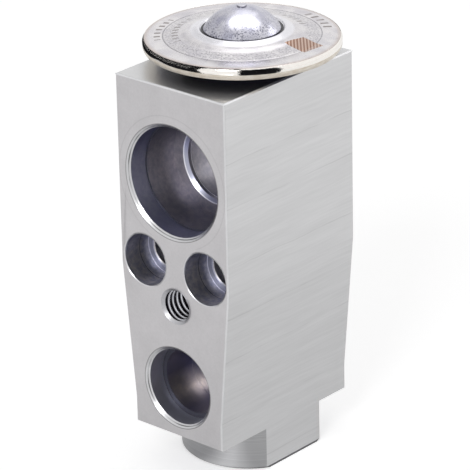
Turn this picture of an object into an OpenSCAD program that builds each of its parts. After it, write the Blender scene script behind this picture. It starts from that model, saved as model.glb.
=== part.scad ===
// Block-type thermostatic expansion valve
// Millimetres. The bottom of the foot lies at Z = 0 and the front face, with its ports, looks along -Y.
// The origin is the middle of the valve's bounding box in X and Y.

/* [Block] */
// Width across the two flat sides, above the taper
block_w = 22.8; // [22:0.1:26]
// Width at the foot, below the taper
waist_w = 18.6; // [17.6:0.1:20.6]
// Depth from the front face to the back face
block_d = 31; // [30:0.5:36]
// Height from the shoulder to the top face
block_h = 60; // [60:0.5:66]
// Upper end of the taper, above the shoulder
taper_top = 27.8; // [24:0.2:30]
// Lower end of the taper, above the shoulder
taper_bottom = 4.4; // [2:0.2:6]
// Break on the sharp edges of the front and back face
edge_break = 0.25; // [0.1:0.05:0.5]
// Distance of the valve's axis behind the middle of the block
axis_back = 2; // [1:0.1:2.5]

/* [Foot] */
// Radius of the turned foot
foot_r = 11.4; // [10.8:0.1:12.4]
// Height of the foot below the shoulder
foot_h = 7.2; // [7.2:0.1:9]
// Chamfer round its lower edge
foot_chamfer = 0.35; // [0.2:0.05:0.6]

/* [Suction ports] */
// Height of the suction passage above the shoulder
suction_z = 44.1; // [43.6:0.1:44.4]
// Radius of the mouth that takes the tube end
suction_r = 9.15; // [8.95:0.05:9.4]
// Depth of the mouth
suction_l = 4; // [3:0.25:5]
// Radius of the bore behind the mouth
suction_bore_r = 8.9; // [8:0.05:8.9]
// Depth of that bore from the face
suction_bore_l = 10.5; // [8:0.25:11]
// Radius of the hole in the web behind the front bore
web_r = 6.4; // [5.6:0.1:6.6]
// Thickness of the web
web_t = 1.3; // [0.8:0.1:2]
// Radius of the passage behind the web
passage_r = 7.2; // [6.9:0.1:7.5]

/* [Liquid ports] */
// Height of the inlet on the front, above the shoulder
inlet_z = 8.65; // [8.3:0.05:9]
// Height of the outlet on the back, above the shoulder
outlet_z = 17.8; // [17.6:0.05:18.2]
// Radius of both mouths
liquid_r = 6.45; // [6:0.05:6.6]
// Depth of both mouths
liquid_l = 3.6; // [3:0.1:5]
// Radius of the bores behind the mouths
liquid_bore_r = 5.6; // [4.6:0.1:5.8]
// Depth of the inlet bore from the face
inlet_bore_l = 9.6; // [8:0.1:10]
// Depth of the outlet bore from the face
outlet_bore_l = 7; // [5.5:0.1:8]
// Radius of the drilling from the inlet bore to the spring chamber
inlet_drill_r = 3.5; // [2.8:0.1:3.6]
// Radius of the drilling from the outlet bore to the valve's axis
outlet_drill_r = 2.8; // [2.2:0.1:2.9]
// Chamfer round the mouths of all four ports
port_chamfer = 0.55; // [0.3:0.05:0.8]

/* [Fixing holes] */
// Distance between the two fixing holes
bolt_spacing = 12.7; // [12.4:0.1:13]
// Height of the fixing holes above the shoulder
bolt_z = 29.3; // [29:0.1:29.5]
// Radius of the fixing holes
bolt_r = 3.2; // [2.6:0.1:3.3]
// Radius of their counterbores in the front face
counterbore_r = 4.4; // [4:0.1:4.5]
// Depth of the counterbores
counterbore_l = 5.75; // [4:0.25:8]
// Chamfer where a fixing hole starts at the floor of its counterbore
bolt_edge = 0.25; // [0.1:0.05:0.3]
// Chamfer round the counterbores
bolt_chamfer = 0.2; // [0.1:0.05:0.3]
// Height of the threaded stud hole above the shoulder
stud_z = 22.9; // [22.6:0.1:23.2]
// Outer radius of its thread
stud_r = 3; // [2.5:0.25:3]
// Length of its thread
stud_l = 10; // [8:0.5:10.5]
// Radius of the drilling behind the thread
stud_drill_r = 2.5; // [2:0.25:2.5]
// Length of that drilling behind the thread
stud_drill_l = 2; // [1:0.25:2]

/* [Head] */
// Radius of the diaphragm head
head_r = 15.85; // [14.8:0.05:17]
// Gap between the block's top face and the rim of the head
head_gap = 2; // [1.6:0.1:3]
// Thickness of both covers
cover_t = 0.85; // [0.7:0.05:1]
// Thickness of the diaphragm
diaphragm_t = 0.15; // [0.1:0.05:0.25]
// How far the middle of the diaphragm lies below its rim with the valve shut
diaphragm_dish = 0.3; // [0.2:0.05:0.4]
// Radius of the crease where the cover starts to rise
crease_r = 12.6; // [11.8:0.1:13.4]
// Radius of the raised ring round the dome
bead_r = 7.35; // [7.1:0.05:7.8]
// Height of the raised ring above the rim
bead_h = 1.25; // [0.9:0.05:1.6]
// Radius of the dome's foot
dome_foot_r = 6.4; // [6:0.05:6.6]
// Radius of the dome's sphere
dome_r = 6.9; // [6.8:0.1:7.6]
// Height of the dome above the rim
dome_h = 4.85; // [4.2:0.05:5.4]
// Radius of the plug in the charge hole
plug_r = 0.8; // [0.6:0.1:1.2]
// How far the plug stands out of the dome
plug_h = 0.2; // [0.1:0.05:0.4]

/* [Head joint] */
// Radius of the threaded socket in the block
socket_r = 7.5; // [7:0.1:8]
// Depth of the socket below the top face
socket_l = 5; // [4.6:0.1:5]
// Radius of the boss that seats on the top face
boss_r = 9.7; // [9.5:0.1:10.4]
// Radius of the bore for the pad
pad_bore_r = 6.3; // [6.1:0.1:6.5]
// Radius of the bore below the pad's stop
neck_bore_r = 5; // [4.4:0.1:5.4]
// Section radius of the seal under the head
head_seal_r = 0.75; // [0.6:0.05:0.8]

/* [Valve train] */
// Stroke from shut to fully open
stroke = 0.8; // [0.5:0.1:1]
// Radius of the pad under the diaphragm
pad_r = 6; // [5.6:0.1:6]
// Thickness of the pad
pad_t = 1; // [0.8:0.1:1.2]
// Radius of the sensor rod
rod_r = 2.2; // [1.9:0.1:2.4]
// Radius of the hole for the rod below the socket
rod_hole_r = 3.2; // [2.9:0.1:3.6]
// Radius of the valve pin
pin_r = 1.2; // [1:0.05:1.3]
// Depth to which the pin is pressed into the rod
pin_grip = 4; // [3:0.5:5]
// Radius of the ball
ball_r = 2.5; // [2.4:0.05:2.7]
// Radius of the orifice that the ball closes
orifice_r = 2; // [1.7:0.05:2.1]
// Height of the seat above the shoulder
seat_z = 13; // [12.9:0.05:13.4]
// Thickness of the seat, up to the outlet chamber
seat_t = 1.8; // [1.4:0.1:1.9]
// Radius of the outlet chamber round the pin
outlet_chamber_r = 3.4; // [3.2:0.1:3.6]
// Height of the outlet chamber
outlet_chamber_h = 6.2; // [6:0.1:6.6]

/* [Rod seal] */
// Radius of the seal's bore in the block
gland_r = 2.7; // [2.5:0.1:2.9]
// Height of the bore's floor above the shoulder
gland_z = 33.5; // [33.2:0.1:34]
// Thickness of the pressed retainer
retainer_t = 1.2; // [0.8:0.1:1.4]

/* [Spring and adjuster] */
// Radius of the spring chamber
chamber_r = 4.6; // [4.4:0.1:4.8]
// Radius of the threaded bore for the adjusting screw
screw_r = 5; // [4.9:0.1:5.6]
// Length of the screw's thread
screw_l = 5; // [4:0.25:5]
// Distance of the screw below the shoulder
screw_drop = 1.6; // [1.5:0.1:1.8]
// Width across the flats of its hex socket
hex_w = 4; // [3:0.5:5]
// Depth of the hex socket
hex_l = 3; // [2:0.25:3.5]
// Radius of the seal's seat on the screw
seal_seat_r = 3.4; // [3.2:0.1:3.6]
// Radius of the carrier's flange
carrier_r = 3.9; // [3.7:0.1:4]
// Thickness of that flange
carrier_t = 1; // [0.8:0.1:1.2]
// Radius of the cup that holds the ball
cup_r = 1.5; // [1.2:0.1:1.7]
// Radius of the spigots that centre the spring
spigot_r = 2.4; // [2:0.1:2.5]
// Wire radius of the spring
wire_r = 0.45; // [0.35:0.05:0.5]
// Number of turns
spring_turns = 5.5; // [4.5:0.5:6.5]
// Thickness of the damper ring's sheet
damper_t = 0.3; // [0.2:0.05:0.4]

/* [Fits] */
// Running clearance of the pin in its guide
pin_clear = 0.05; // [0.03:0.01:0.08]
// Clearance where pieces move past each other
move_clear = 0.1; // [0.05:0.01:0.15]
// Clearance where pieces only must not touch
free_clear = 0.3; // [0.2:0.05:0.4]
// Gap between ball and seat with the valve shut
seat_clear = 0.02; // [0.01:0.01:0.03]

/* [Hidden] */
$fn = 96;
cut = 1;

// Frame: the bounding box is centred in Y between the front face and the head or the back face
front_reach = block_d / 2 + axis_back;
back_reach = max(head_r, block_d / 2 - axis_back);
axis_y = (front_reach - back_reach) / 2;
front_y = axis_y - front_reach;
back_y = front_y + block_d;
shoulder_z = foot_h;
top_z = shoulder_z + block_h;

// Head, from the block upwards
rim_z = top_z + head_gap;
diaphragm_z = rim_z + cover_t;
upper_z = diaphragm_z + diaphragm_t;
face_z = upper_z + cover_t;
rim_land = 2.4;
rim_round = 0.45;
clamp_r = head_r - rim_land;
dish_z = diaphragm_z - diaphragm_dish;
dish_r = bead_r - cover_t;
tray_z = dish_z - diaphragm_t - free_clear - cover_t;
crevice_h = bead_h - 0.3;
dome_cz = face_z + dome_h - dome_r;
dome_foot_z = dome_cz + sqrt(pow(dome_r, 2) - pow(dome_foot_r - free_clear, 2));

// Valve train, from the diaphragm downwards
pad_z = dish_z - pad_t;
stop_z = pad_z - stroke - seat_clear;
hub_r = rod_r + cover_t;
neck_z = top_z - socket_l + free_clear;
seal_seat_h = 1.4 * head_seal_r;
gland_seal_r = (gland_r - pin_r - seat_clear) / 2;
retainer_z = shoulder_z + gland_z + 2 * gland_seal_r + seat_clear;
rod_z = retainer_z + retainer_t + stroke + free_clear;
ball_z = shoulder_z + seat_z - sqrt(pow(ball_r, 2) - pow(orifice_r, 2)) - seat_clear;
pin_z = ball_z + ball_r;
outlet_floor_z = shoulder_z + seat_z + seat_t;
guide_z = outlet_floor_z + outlet_chamber_h;
carrier_z = ball_z - sqrt(pow(ball_r, 2) - pow(cup_r, 2));
spring_top_z = carrier_z - carrier_t;

// Adjusting screw, from the thread upwards
screw_z = shoulder_z - screw_drop;
chamber_z = screw_z + 0.2;
adjuster_seal_r = (chamber_r - seal_seat_r - seat_clear) / 2;
flange_z = chamber_z + 2 * adjuster_seal_r + move_clear;
spring_z = flange_z + carrier_t;
spring_r = spigot_r + wire_r + free_clear;
spigot_l = 1.4;
finger_w = 1.8;
finger_l = 2.7;

metal = [0.78, 0.78, 0.79];
steel = [0.72, 0.71, 0.70];
warm_steel = [0.80, 0.76, 0.68];
rubber_black = [0.09, 0.09, 0.10];
brass_tone = [0.72, 0.60, 0.34];

// Places its children on the valve's axis at height z
module on_axis(z = 0) {
    translate([0, axis_y, z])
        children();
}

// A cylinder on the valve's axis between two heights
module rod_at(r, z0, z1) {
    on_axis(z0)
        cylinder(r = r, h = z1 - z0);
}

// A drilling from the front face, which looks along -Y
module front_drill(x, z, r, l) {
    translate([x, front_y - cut, z])
        rotate([-90, 0, 0])
            cylinder(r = r, h = l + cut);
}

// The same from the back face
module back_drill(x, z, r, l) {
    translate([x, back_y + cut, z])
        rotate([90, 0, 0])
            cylinder(r = r, h = l + cut);
}

// A cone that chamfers a mouth of radius r by c
module mouth_cone(r, c) {
    rotate_extrude()
        polygon([[0, -cut], [r + c + cut, -cut], [r + c, 0], [r, c], [0, c]]);
}

// The same where the hole starts at the floor of a wider bore
module floor_cone(r, c) {
    rotate_extrude()
        polygon([[0, -cut], [r + c, -cut], [r + c, 0], [r, c], [0, c]]);
}

module front_chamfer(x, z, r, c) {
    translate([x, front_y, z])
        rotate([-90, 0, 0])
            mouth_cone(r, c);
}

module back_chamfer(x, z, r, c) {
    translate([x, back_y, z])
        rotate([90, 0, 0])
            mouth_cone(r, c);
}

// Outline of the block seen from the front, above the shoulder
side_line = [
    [waist_w / 2, 0],
    [waist_w / 2, taper_bottom],
    [block_w / 2, taper_top],
    [block_w / 2, block_h - edge_break],
    [block_w / 2 - edge_break, block_h]
];
outline = concat(side_line, [for (i = [len(side_line) - 1 : -1 : 0]) [-side_line[i][0], side_line[i][1]]]);

module block_body() {
    translate([0, back_y, shoulder_z])
        rotate([90, 0, 0])
            linear_extrude(block_d)
                polygon(outline);
}

// Breaks one edge of the outline on the face at y
module edge_cut(p, q, y) {
    run = q - p;
    side = edge_break * sqrt(2);
    translate([p[0], y, shoulder_z + p[1]])
        rotate([0, -atan2(run[1], run[0]), 0])
            translate([norm(run) / 2, 0, 0])
                rotate([45, 0, 0])
                    cube([norm(run) + edge_break / 4, side, side], center = true);
}

module edge_cuts() {
    for (y = [front_y, back_y], i = [0 : len(outline) - 1])
        if (norm(outline[(i + 1) % len(outline)] - outline[i]) > 1)
            edge_cut(outline[i], outline[(i + 1) % len(outline)], y);
}

// Turned foot, cut flush with the block's two sides
module foot() {
    intersection() {
        on_axis()
            rotate_extrude()
                polygon([
                    [0, 0], [foot_r - foot_chamfer, 0], [foot_r, foot_chamfer],
                    [foot_r, shoulder_z + cut], [0, shoulder_z + cut]
                ]);
        translate([-waist_w / 2, axis_y - 2 * foot_r, -cut])
            cube([waist_w, 4 * foot_r, shoulder_z + 3 * cut]);
    }
}

module suction_ports() {
    z = shoulder_z + suction_z;
    front_chamfer(0, z, suction_r, port_chamfer);
    front_drill(0, z, suction_r, suction_l);
    front_drill(0, z, suction_bore_r, suction_bore_l);
    translate([0, front_y + suction_bore_l, z])
        rotate([-90, 0, 0])
            mouth_cone(web_r, port_chamfer);
    front_drill(0, z, web_r, suction_bore_l + web_t + cut);
    back_chamfer(0, z, suction_r, port_chamfer);
    back_drill(0, z, suction_r, suction_l);
    back_drill(0, z, suction_bore_r, suction_bore_l);
    back_drill(0, z, passage_r, block_d - suction_bore_l - web_t);
}

module liquid_ports() {
    in_z = shoulder_z + inlet_z;
    out_z = shoulder_z + outlet_z;
    front_chamfer(0, in_z, liquid_r, port_chamfer);
    front_drill(0, in_z, liquid_r, liquid_l);
    front_drill(0, in_z, liquid_bore_r, inlet_bore_l);
    front_drill(0, in_z, inlet_drill_r, axis_y - front_y);
    back_chamfer(0, out_z, liquid_r, port_chamfer);
    back_drill(0, out_z, liquid_r, liquid_l);
    back_drill(0, out_z, liquid_bore_r, outlet_bore_l);
    back_drill(0, out_z, outlet_drill_r, back_y - axis_y);
}

module fixing_holes() {
    for (x = [-bolt_spacing / 2, bolt_spacing / 2]) {
        front_chamfer(x, shoulder_z + bolt_z, counterbore_r, bolt_chamfer);
        front_drill(x, shoulder_z + bolt_z, counterbore_r, counterbore_l);
        front_drill(x, shoulder_z + bolt_z, bolt_r, block_d + cut);
        translate([x, front_y + counterbore_l, shoulder_z + bolt_z])
            rotate([-90, 0, 0])
                floor_cone(bolt_r, bolt_edge);
        back_chamfer(x, shoulder_z + bolt_z, bolt_r, bolt_chamfer);
    }
}

module stud_hole() {
    z = shoulder_z + stud_z;
    front_chamfer(0, z, stud_r, bolt_chamfer);
    front_drill(0, z, stud_r, stud_l);
    front_drill(0, z, stud_drill_r, stud_l + stud_drill_l);
    translate([0, front_y + stud_l + stud_drill_l, z])
        rotate([-90, 0, 0])
            cylinder(r1 = stud_drill_r, r2 = 0, h = stud_drill_r * 0.6);
}

// All bores on the valve's axis, from the foot to the head's socket
module axis_bores() {
    rod_at(screw_r, -cut, chamber_z);
    on_axis()
        mouth_cone(screw_r, foot_chamfer);
    rod_at(chamber_r, 0, shoulder_z + seat_z);
    rod_at(orifice_r, 0, outlet_floor_z + cut);
    rod_at(outlet_chamber_r, outlet_floor_z, guide_z);
    rod_at(pin_r + pin_clear, outlet_floor_z, top_z);
    rod_at(gland_r, shoulder_z + gland_z, shoulder_z + suction_z);
    rod_at(rod_hole_r, shoulder_z + suction_z, top_z);
    rod_at(socket_r, top_z - socket_l, top_z + cut);
    rod_at(socket_r + 2 * head_seal_r, top_z - seal_seat_h, top_z + cut);
}

module valve_block() {
    color(metal)
        difference() {
            union() {
                block_body();
                foot();
            }
            edge_cuts();
            suction_ports();
            liquid_ports();
            fixing_holes();
            stud_hole();
            axis_bores();
        }
}

// Points on an arc of radius r round [cx, cz], from angle a to angle b
function arc(cx, cz, r, a, b, n) = [for (i = [0 : n]) let (t = a + (b - a) * i / n) [cx + r * cos(t), cz + r * sin(t)]];
// A smooth rise from 0 to 1
function ease(t) = t * t * (3 - 2 * t);
// Points from the crease up to the raised ring
function rise(r0, z0, r1, z1, n) = [for (i = [0 : n]) [r0 + (r1 - r0) * i / n, z0 + (z1 - z0) * ease(i / n)]];

module head_upper_cover() {
    foot_angle = asin((dome_foot_z - dome_cz) / dome_r);
    inner_r = dome_r - cover_t;
    inner_angle = asin((face_z + bead_h - cover_t - dome_cz) / inner_r);
    outside = concat(
        arc(head_r - rim_round, face_z - rim_round, rim_round, 0, 90, 6),
        rise(crease_r, face_z, bead_r, face_z + bead_h, 10),
        [[(bead_r + dome_foot_r) / 2, face_z + (bead_h + crevice_h) / 2 + 0.1]],
        [[dome_foot_r, face_z + crevice_h]],
        arc(0, dome_cz, dome_r, foot_angle, 90, 16)
    );
    inside = concat(
        arc(0, dome_cz, inner_r, 90, inner_angle, 12),
        rise(bead_r, face_z + bead_h - cover_t, crease_r, upper_z, 8)
    );
    color(steel)
        difference() {
            on_axis()
                rotate_extrude()
                    polygon(concat([[head_r, upper_z]], outside, inside));
            rod_at(plug_r, face_z, face_z + 2 * dome_h);
        }
}

module fill_plug() {
    color(steel)
        on_axis()
            rotate_extrude()
                polygon([
                    [0, face_z + dome_h - cover_t - free_clear],
                    [plug_r, face_z + dome_h - cover_t - free_clear],
                    [plug_r, face_z + dome_h + plug_h / 2],
                    [plug_r - plug_h / 2, face_z + dome_h + plug_h],
                    [0, face_z + dome_h + plug_h]
                ]);
}

module head_lower_cover() {
    slope_r = clamp_r + cover_t / 2;
    color(warm_steel)
        on_axis()
            rotate_extrude()
                polygon([
                    [neck_bore_r, neck_z],
                    [socket_r, neck_z],
                    [socket_r, top_z],
                    [boss_r, top_z],
                    [boss_r, tray_z],
                    [slope_r - cover_t, tray_z],
                    [slope_r, rim_z],
                    [head_r - rim_round / 2, rim_z],
                    [head_r - seat_clear, rim_z + rim_round],
                    [head_r - seat_clear, diaphragm_z],
                    [clamp_r, diaphragm_z],
                    [slope_r - 2 * cover_t, tray_z + cover_t],
                    [pad_bore_r, tray_z + cover_t],
                    [pad_bore_r, stop_z],
                    [neck_bore_r, stop_z]
                ]);
}

module diaphragm() {
    color(steel)
        on_axis()
            rotate_extrude()
                polygon(concat(
                    [[0, dish_z]],
                    rise(dish_r, dish_z, clamp_r - cover_t, diaphragm_z, 8),
                    [[head_r - rim_round, diaphragm_z], [head_r - rim_round, upper_z]],
                    rise(clamp_r - cover_t, upper_z, dish_r, dish_z + diaphragm_t, 8),
                    [[0, dish_z + diaphragm_t]]
                ));
}

module diaphragm_pad() {
    color(brass_tone)
        difference() {
            union() {
                rod_at(pad_r, pad_z, dish_z);
                rod_at(hub_r, pad_z - pad_t, pad_z + pad_t / 2);
            }
            rod_at(rod_r, pad_z - 2 * pad_t, pad_z + pad_t / 2);
        }
}

// A seal ring of section radius s at mid radius r
module seal(r, s, z) {
    color(rubber_black)
        on_axis(z)
            rotate_extrude()
                translate([r, 0])
                    circle(r = s, $fn = 32);
}

module head_o_ring() {
    seal(socket_r + head_seal_r, head_seal_r * 0.7, top_z - seal_seat_h / 2);
}

module rod_o_ring() {
    seal(pin_r + seat_clear + gland_seal_r, gland_seal_r, shoulder_z + gland_z + gland_seal_r);
}

module adjuster_o_ring() {
    seal(seal_seat_r + seat_clear / 2 + adjuster_seal_r, adjuster_seal_r, chamber_z + adjuster_seal_r + seat_clear);
}

module rod_retainer() {
    color(brass_tone)
        difference() {
            rod_at(gland_r, retainer_z, retainer_z + retainer_t);
            rod_at(pin_r + move_clear, retainer_z - cut, retainer_z + retainer_t + cut);
        }
}

module sensor_rod() {
    color(metal)
        difference() {
            rod_at(rod_r, rod_z, pad_z + pad_t / 2);
            rod_at(pin_r, rod_z - cut, rod_z + pin_grip);
        }
}

module valve_pin() {
    color(steel)
        rod_at(pin_r, pin_z, rod_z + pin_grip);
}

module valve_ball() {
    color(steel)
        on_axis(ball_z)
            sphere(r = ball_r);
}

module ball_carrier() {
    color(brass_tone)
        difference() {
            union() {
                rod_at(carrier_r, spring_top_z, carrier_z);
                rod_at(spigot_r, spring_top_z - spigot_l, spring_top_z + carrier_t / 2);
            }
            rod_at(cup_r, carrier_z - carrier_t, carrier_z + cut);
        }
}

// Flat ring on the carrier with four fingers that slide on the chamber's wall
module damper_ring() {
    finger_r = chamber_r - move_clear;
    color(steel)
        difference() {
            union() {
                rod_at(carrier_r - move_clear, carrier_z, carrier_z + damper_t);
                intersection() {
                    rod_at(finger_r, carrier_z, carrier_z + finger_l);
                    for (a = [45 : 90 : 315])
                        on_axis(carrier_z)
                            rotate([0, 0, a])
                                translate([carrier_r - 3 * damper_t, -finger_w / 2, 0])
                                    cube([chamber_r, finger_w, finger_l]);
                }
            }
            rod_at(ball_r + move_clear, carrier_z - cut, carrier_z + finger_l + cut);
            rod_at(finger_r - damper_t, carrier_z + damper_t, carrier_z + finger_l + cut);
        }
}

// Height of the spring's wire after u turns: the end turns lie close, the others share the rest
end_turn = 0.8;
function coil_rise(u, pitch) =
    let (closed = 2.1 * wire_r)
    closed * min(u, end_turn)
        + pitch * max(0, min(u, spring_turns - end_turn) - end_turn)
        + closed * max(0, u - spring_turns + end_turn);

module valve_spring() {
    steps = 20;
    sides = 8;
    rings = floor(spring_turns * steps);
    height = spring_top_z - spring_z - 2 * wire_r;
    pitch = (height - 4.2 * wire_r * end_turn) / (spring_turns - 2 * end_turn);
    points = [
        for (i = [0 : rings], j = [0 : sides - 1])
            let (u = i / steps, a = 360 * u, b = 360 * j / sides, r = spring_r + wire_r * cos(b))
            [r * cos(a), r * sin(a), wire_r + coil_rise(u, pitch) + wire_r * sin(b)]
    ];
    walls = [
        for (i = [0 : rings - 1], j = [0 : sides - 1])
            let (k = (j + 1) % sides)
            [i * sides + j, (i + 1) * sides + j, (i + 1) * sides + k, i * sides + k]
    ];
    ends = [[for (j = [0 : sides - 1]) j], [for (j = [sides - 1 : -1 : 0]) rings * sides + j]];
    color(steel)
        on_axis(spring_z)
            polyhedron(points, concat(walls, ends));
}

module adjusting_screw() {
    color(brass_tone)
        difference() {
            on_axis()
                rotate_extrude()
                    polygon([
                        [0, screw_z - screw_l],
                        [screw_r - foot_chamfer, screw_z - screw_l],
                        [screw_r, screw_z - screw_l + foot_chamfer],
                        [screw_r, screw_z],
                        [seal_seat_r, screw_z],
                        [seal_seat_r, flange_z],
                        [chamber_r - move_clear, flange_z],
                        [chamber_r - move_clear, spring_z],
                        [spigot_r, spring_z],
                        [spigot_r, spring_z + spigot_l],
                        [0, spring_z + spigot_l]
                    ]);
            on_axis(screw_z - screw_l - cut)
                cylinder(r = hex_w / 2 / cos(30), h = hex_l + cut, $fn = 6);
        }
}

valve_block();
head_upper_cover();
head_lower_cover();
fill_plug();
diaphragm();
diaphragm_pad();
head_o_ring();
sensor_rod();
rod_o_ring();
rod_retainer();
valve_pin();
valve_ball();
ball_carrier();
damper_ring();
valve_spring();
adjusting_screw();
adjuster_o_ring();
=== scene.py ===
import math

import bmesh
import bpy
from mathutils import Matrix, Vector


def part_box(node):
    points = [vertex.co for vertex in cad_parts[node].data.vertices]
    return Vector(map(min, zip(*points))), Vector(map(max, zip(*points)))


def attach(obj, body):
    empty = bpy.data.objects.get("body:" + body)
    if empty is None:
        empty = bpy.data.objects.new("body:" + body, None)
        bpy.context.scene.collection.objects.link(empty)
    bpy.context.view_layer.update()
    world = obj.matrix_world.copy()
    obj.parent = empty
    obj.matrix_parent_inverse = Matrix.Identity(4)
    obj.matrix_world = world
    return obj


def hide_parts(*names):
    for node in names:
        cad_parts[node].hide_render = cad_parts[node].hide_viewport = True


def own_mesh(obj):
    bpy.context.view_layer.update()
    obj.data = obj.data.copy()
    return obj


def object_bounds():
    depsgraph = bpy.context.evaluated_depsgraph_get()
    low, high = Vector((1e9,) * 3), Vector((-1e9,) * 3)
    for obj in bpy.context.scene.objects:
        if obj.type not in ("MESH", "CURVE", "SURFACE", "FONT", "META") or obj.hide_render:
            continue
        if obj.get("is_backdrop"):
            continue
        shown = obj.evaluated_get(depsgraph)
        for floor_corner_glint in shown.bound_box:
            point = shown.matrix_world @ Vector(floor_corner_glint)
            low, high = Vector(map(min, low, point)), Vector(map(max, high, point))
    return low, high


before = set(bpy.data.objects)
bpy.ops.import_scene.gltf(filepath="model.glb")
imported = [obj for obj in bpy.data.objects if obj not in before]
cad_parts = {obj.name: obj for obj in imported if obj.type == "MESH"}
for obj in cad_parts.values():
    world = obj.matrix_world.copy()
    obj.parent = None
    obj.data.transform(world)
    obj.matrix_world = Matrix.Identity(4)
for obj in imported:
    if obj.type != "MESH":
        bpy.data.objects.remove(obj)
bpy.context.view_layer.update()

# Camera
# The photograph looks at the front face from its right and a little from above, through a long lens from
# about half a metre away. The angles, the distance and the lens come from the block's projected edges.
VIEW_AZIMUTH = 41.66
VIEW_ELEVATION = 23.06
VIEW_ROLL = -1.29
VIEW_DISTANCE = 0.5476
VIEW_TARGET = Vector((-0.00071, -0.00118, 0.03717))
SENSOR_MM = 36.0
LENS_MM = 259.85


def towards(azimuth, elevation):
    """Unit vector from the valve to a place in the studio; azimuth 0 is straight in front of its ports."""
    around = math.radians(azimuth)
    up = math.radians(elevation)
    return Vector((math.sin(around) * math.cos(up), -math.cos(around) * math.cos(up), math.sin(up)))


camera = bpy.data.objects.new("camera", bpy.data.cameras.new("camera"))
bpy.context.collection.objects.link(camera)
sight = towards(VIEW_AZIMUTH, VIEW_ELEVATION)
camera.location = VIEW_TARGET + sight * VIEW_DISTANCE
level = (-sight).to_track_quat("-Z", "Y").to_matrix()
camera.rotation_euler = (level @ Matrix.Rotation(math.radians(VIEW_ROLL), 3, "Z")).to_euler()
camera.data.sensor_width = SENSOR_MM
camera.data.lens = LENS_MM
camera.data.clip_start = 0.01
camera.data.clip_end = 20
bpy.context.scene.camera = camera
bpy.context.scene.view_settings.view_transform = "Standard"

# Valve block
# One length of aluminium bar, sawn, faced and bored, with a turned foot. Its faces are a light satin grey
# with the fine lines of the tool; bored walls are painted darker and bluish as painted shade, for they mirror
# each other.
MM = 0.001
HAIR = 0.05 * MM
FRONT_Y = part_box("valve_block")[0][1]
BLOCK_X, BACK_Y, BLOCK_TOP_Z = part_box("valve_block")[1]
WAIST_X = 9.3 * MM
SHOULDER_Z = 7.2 * MM
FOOT_CHAMFER = 0.35 * MM
TAPER_LOW_Z = 11.6 * MM
TAPER_HIGH_Z = 35.0 * MM
SUCTION_Z = 51.3 * MM
SUCTION_R = 9.15 * MM
SUCTION_STEP_L = 4.0 * MM
WEB_L = 10.5 * MM
WEB_T = 1.3 * MM
WEB_MOUTH_R = 6.95 * MM
LIQUID_R = 6.45 * MM
LIQUID_STEP_L = 3.6 * MM
INLET_Z = 15.85 * MM
OUTLET_Z = 25.0 * MM
PORT_CHAMFER = 0.55 * MM
RIM_CHAMFER = 0.2 * MM
EDGE_BREAK = 0.25 * MM
BOLT_X = 6.35 * MM
BOLT_Z = 36.5 * MM
COUNTERBORE_R = 4.4 * MM
COUNTERBORE_L = 5.75 * MM
SPOTFACE_R = 11.1 * MM
LINE_STEP = 0.45 * MM
LINE_REACH = 10.0 * MM
LINE_BEND = 0.9 * MM
BEND_REACH = 9.0 * MM
BAND_STEP = 4.0 * MM
BAND_REACH = 30.0 * MM
SCRATCH_STEP = 9.5 * MM
SCRATCH_CORE = 0.03 * MM
SCRATCH_HALF_W = 0.16 * MM
SCRATCH_SHIFT = 14.0 * MM
SHIFT_STEP = 17.0 * MM
SCRATCH_BREAK = 7.0 * MM
GRAIN = 0.35 * MM
BLOTCH = 5.0 * MM
GROOVE_SHADE_GAP = 0.45 * PORT_CHAMFER
GROOVE_SHADE_PATCH = 6.0 * MM
TURNED_STEP = 0.2 * MM
OIL_SPOT = 0.9 * MM
WEB_GLINT = 0.12 * MM
EDGE_ROUND = 0.07 * MM


def colour(code):
    """Linear colour of an sRGB hex code."""
    steps = [int(code[i:i + 2], 16) / 255 for i in (1, 3, 5)]
    return [s / 12.92 if s <= 0.04045 else ((s + 0.055) / 1.055) ** 2.4 for s in steps] + [1.0]


# Inputs go by number: a MapRange turns the span 1, 2 into 3, 4; a Mix has its factor at 0, floats at 2 and 3,
# vectors at 4 and 5, and colours at 6 and 7
def add(tree, kind, inputs=None, **settings):
    """Adds a node with its settings; an input takes a value or another node's output."""
    node = tree.nodes.new("ShaderNode" + kind)
    for name, value in settings.items():
        setattr(node, name, value)
    for socket, value in (inputs or {}).items():
        if isinstance(value, bpy.types.NodeSocket):
            tree.links.new(value, node.inputs[socket])
        else:
            node.inputs[socket].default_value = value
    return node.outputs


def finish(name, settings):
    """A new material, its tree and its shader, with the values that are the same all over it."""
    material = bpy.data.materials.new(name)
    material.use_nodes = True
    shader = material.node_tree.nodes["Principled BSDF"]
    for socket, value in settings.items():
        shader.inputs[socket].default_value = value
    return material, material.node_tree, shader


def drive(shader, inputs):
    """Lets the outputs of other nodes set sockets of a material's shader."""
    for socket, output in inputs.items():
        shader.id_data.links.new(output, shader.inputs[socket])


def dress(node_name, material):
    """Puts a material on a piece of the frame."""
    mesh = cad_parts[node_name].data
    mesh.materials.clear()
    mesh.materials.append(material)


# Milled aluminium: a pale grey metal that spreads its highlights, with sharper ones on its broken edges
block_metal, tree, shader = finish("milled_aluminium", {"Metallic": 1.0})
place = add(tree, "TexCoord")["Object"]
x, y, z = add(tree, "SeparateXYZ", {0: place})

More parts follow.
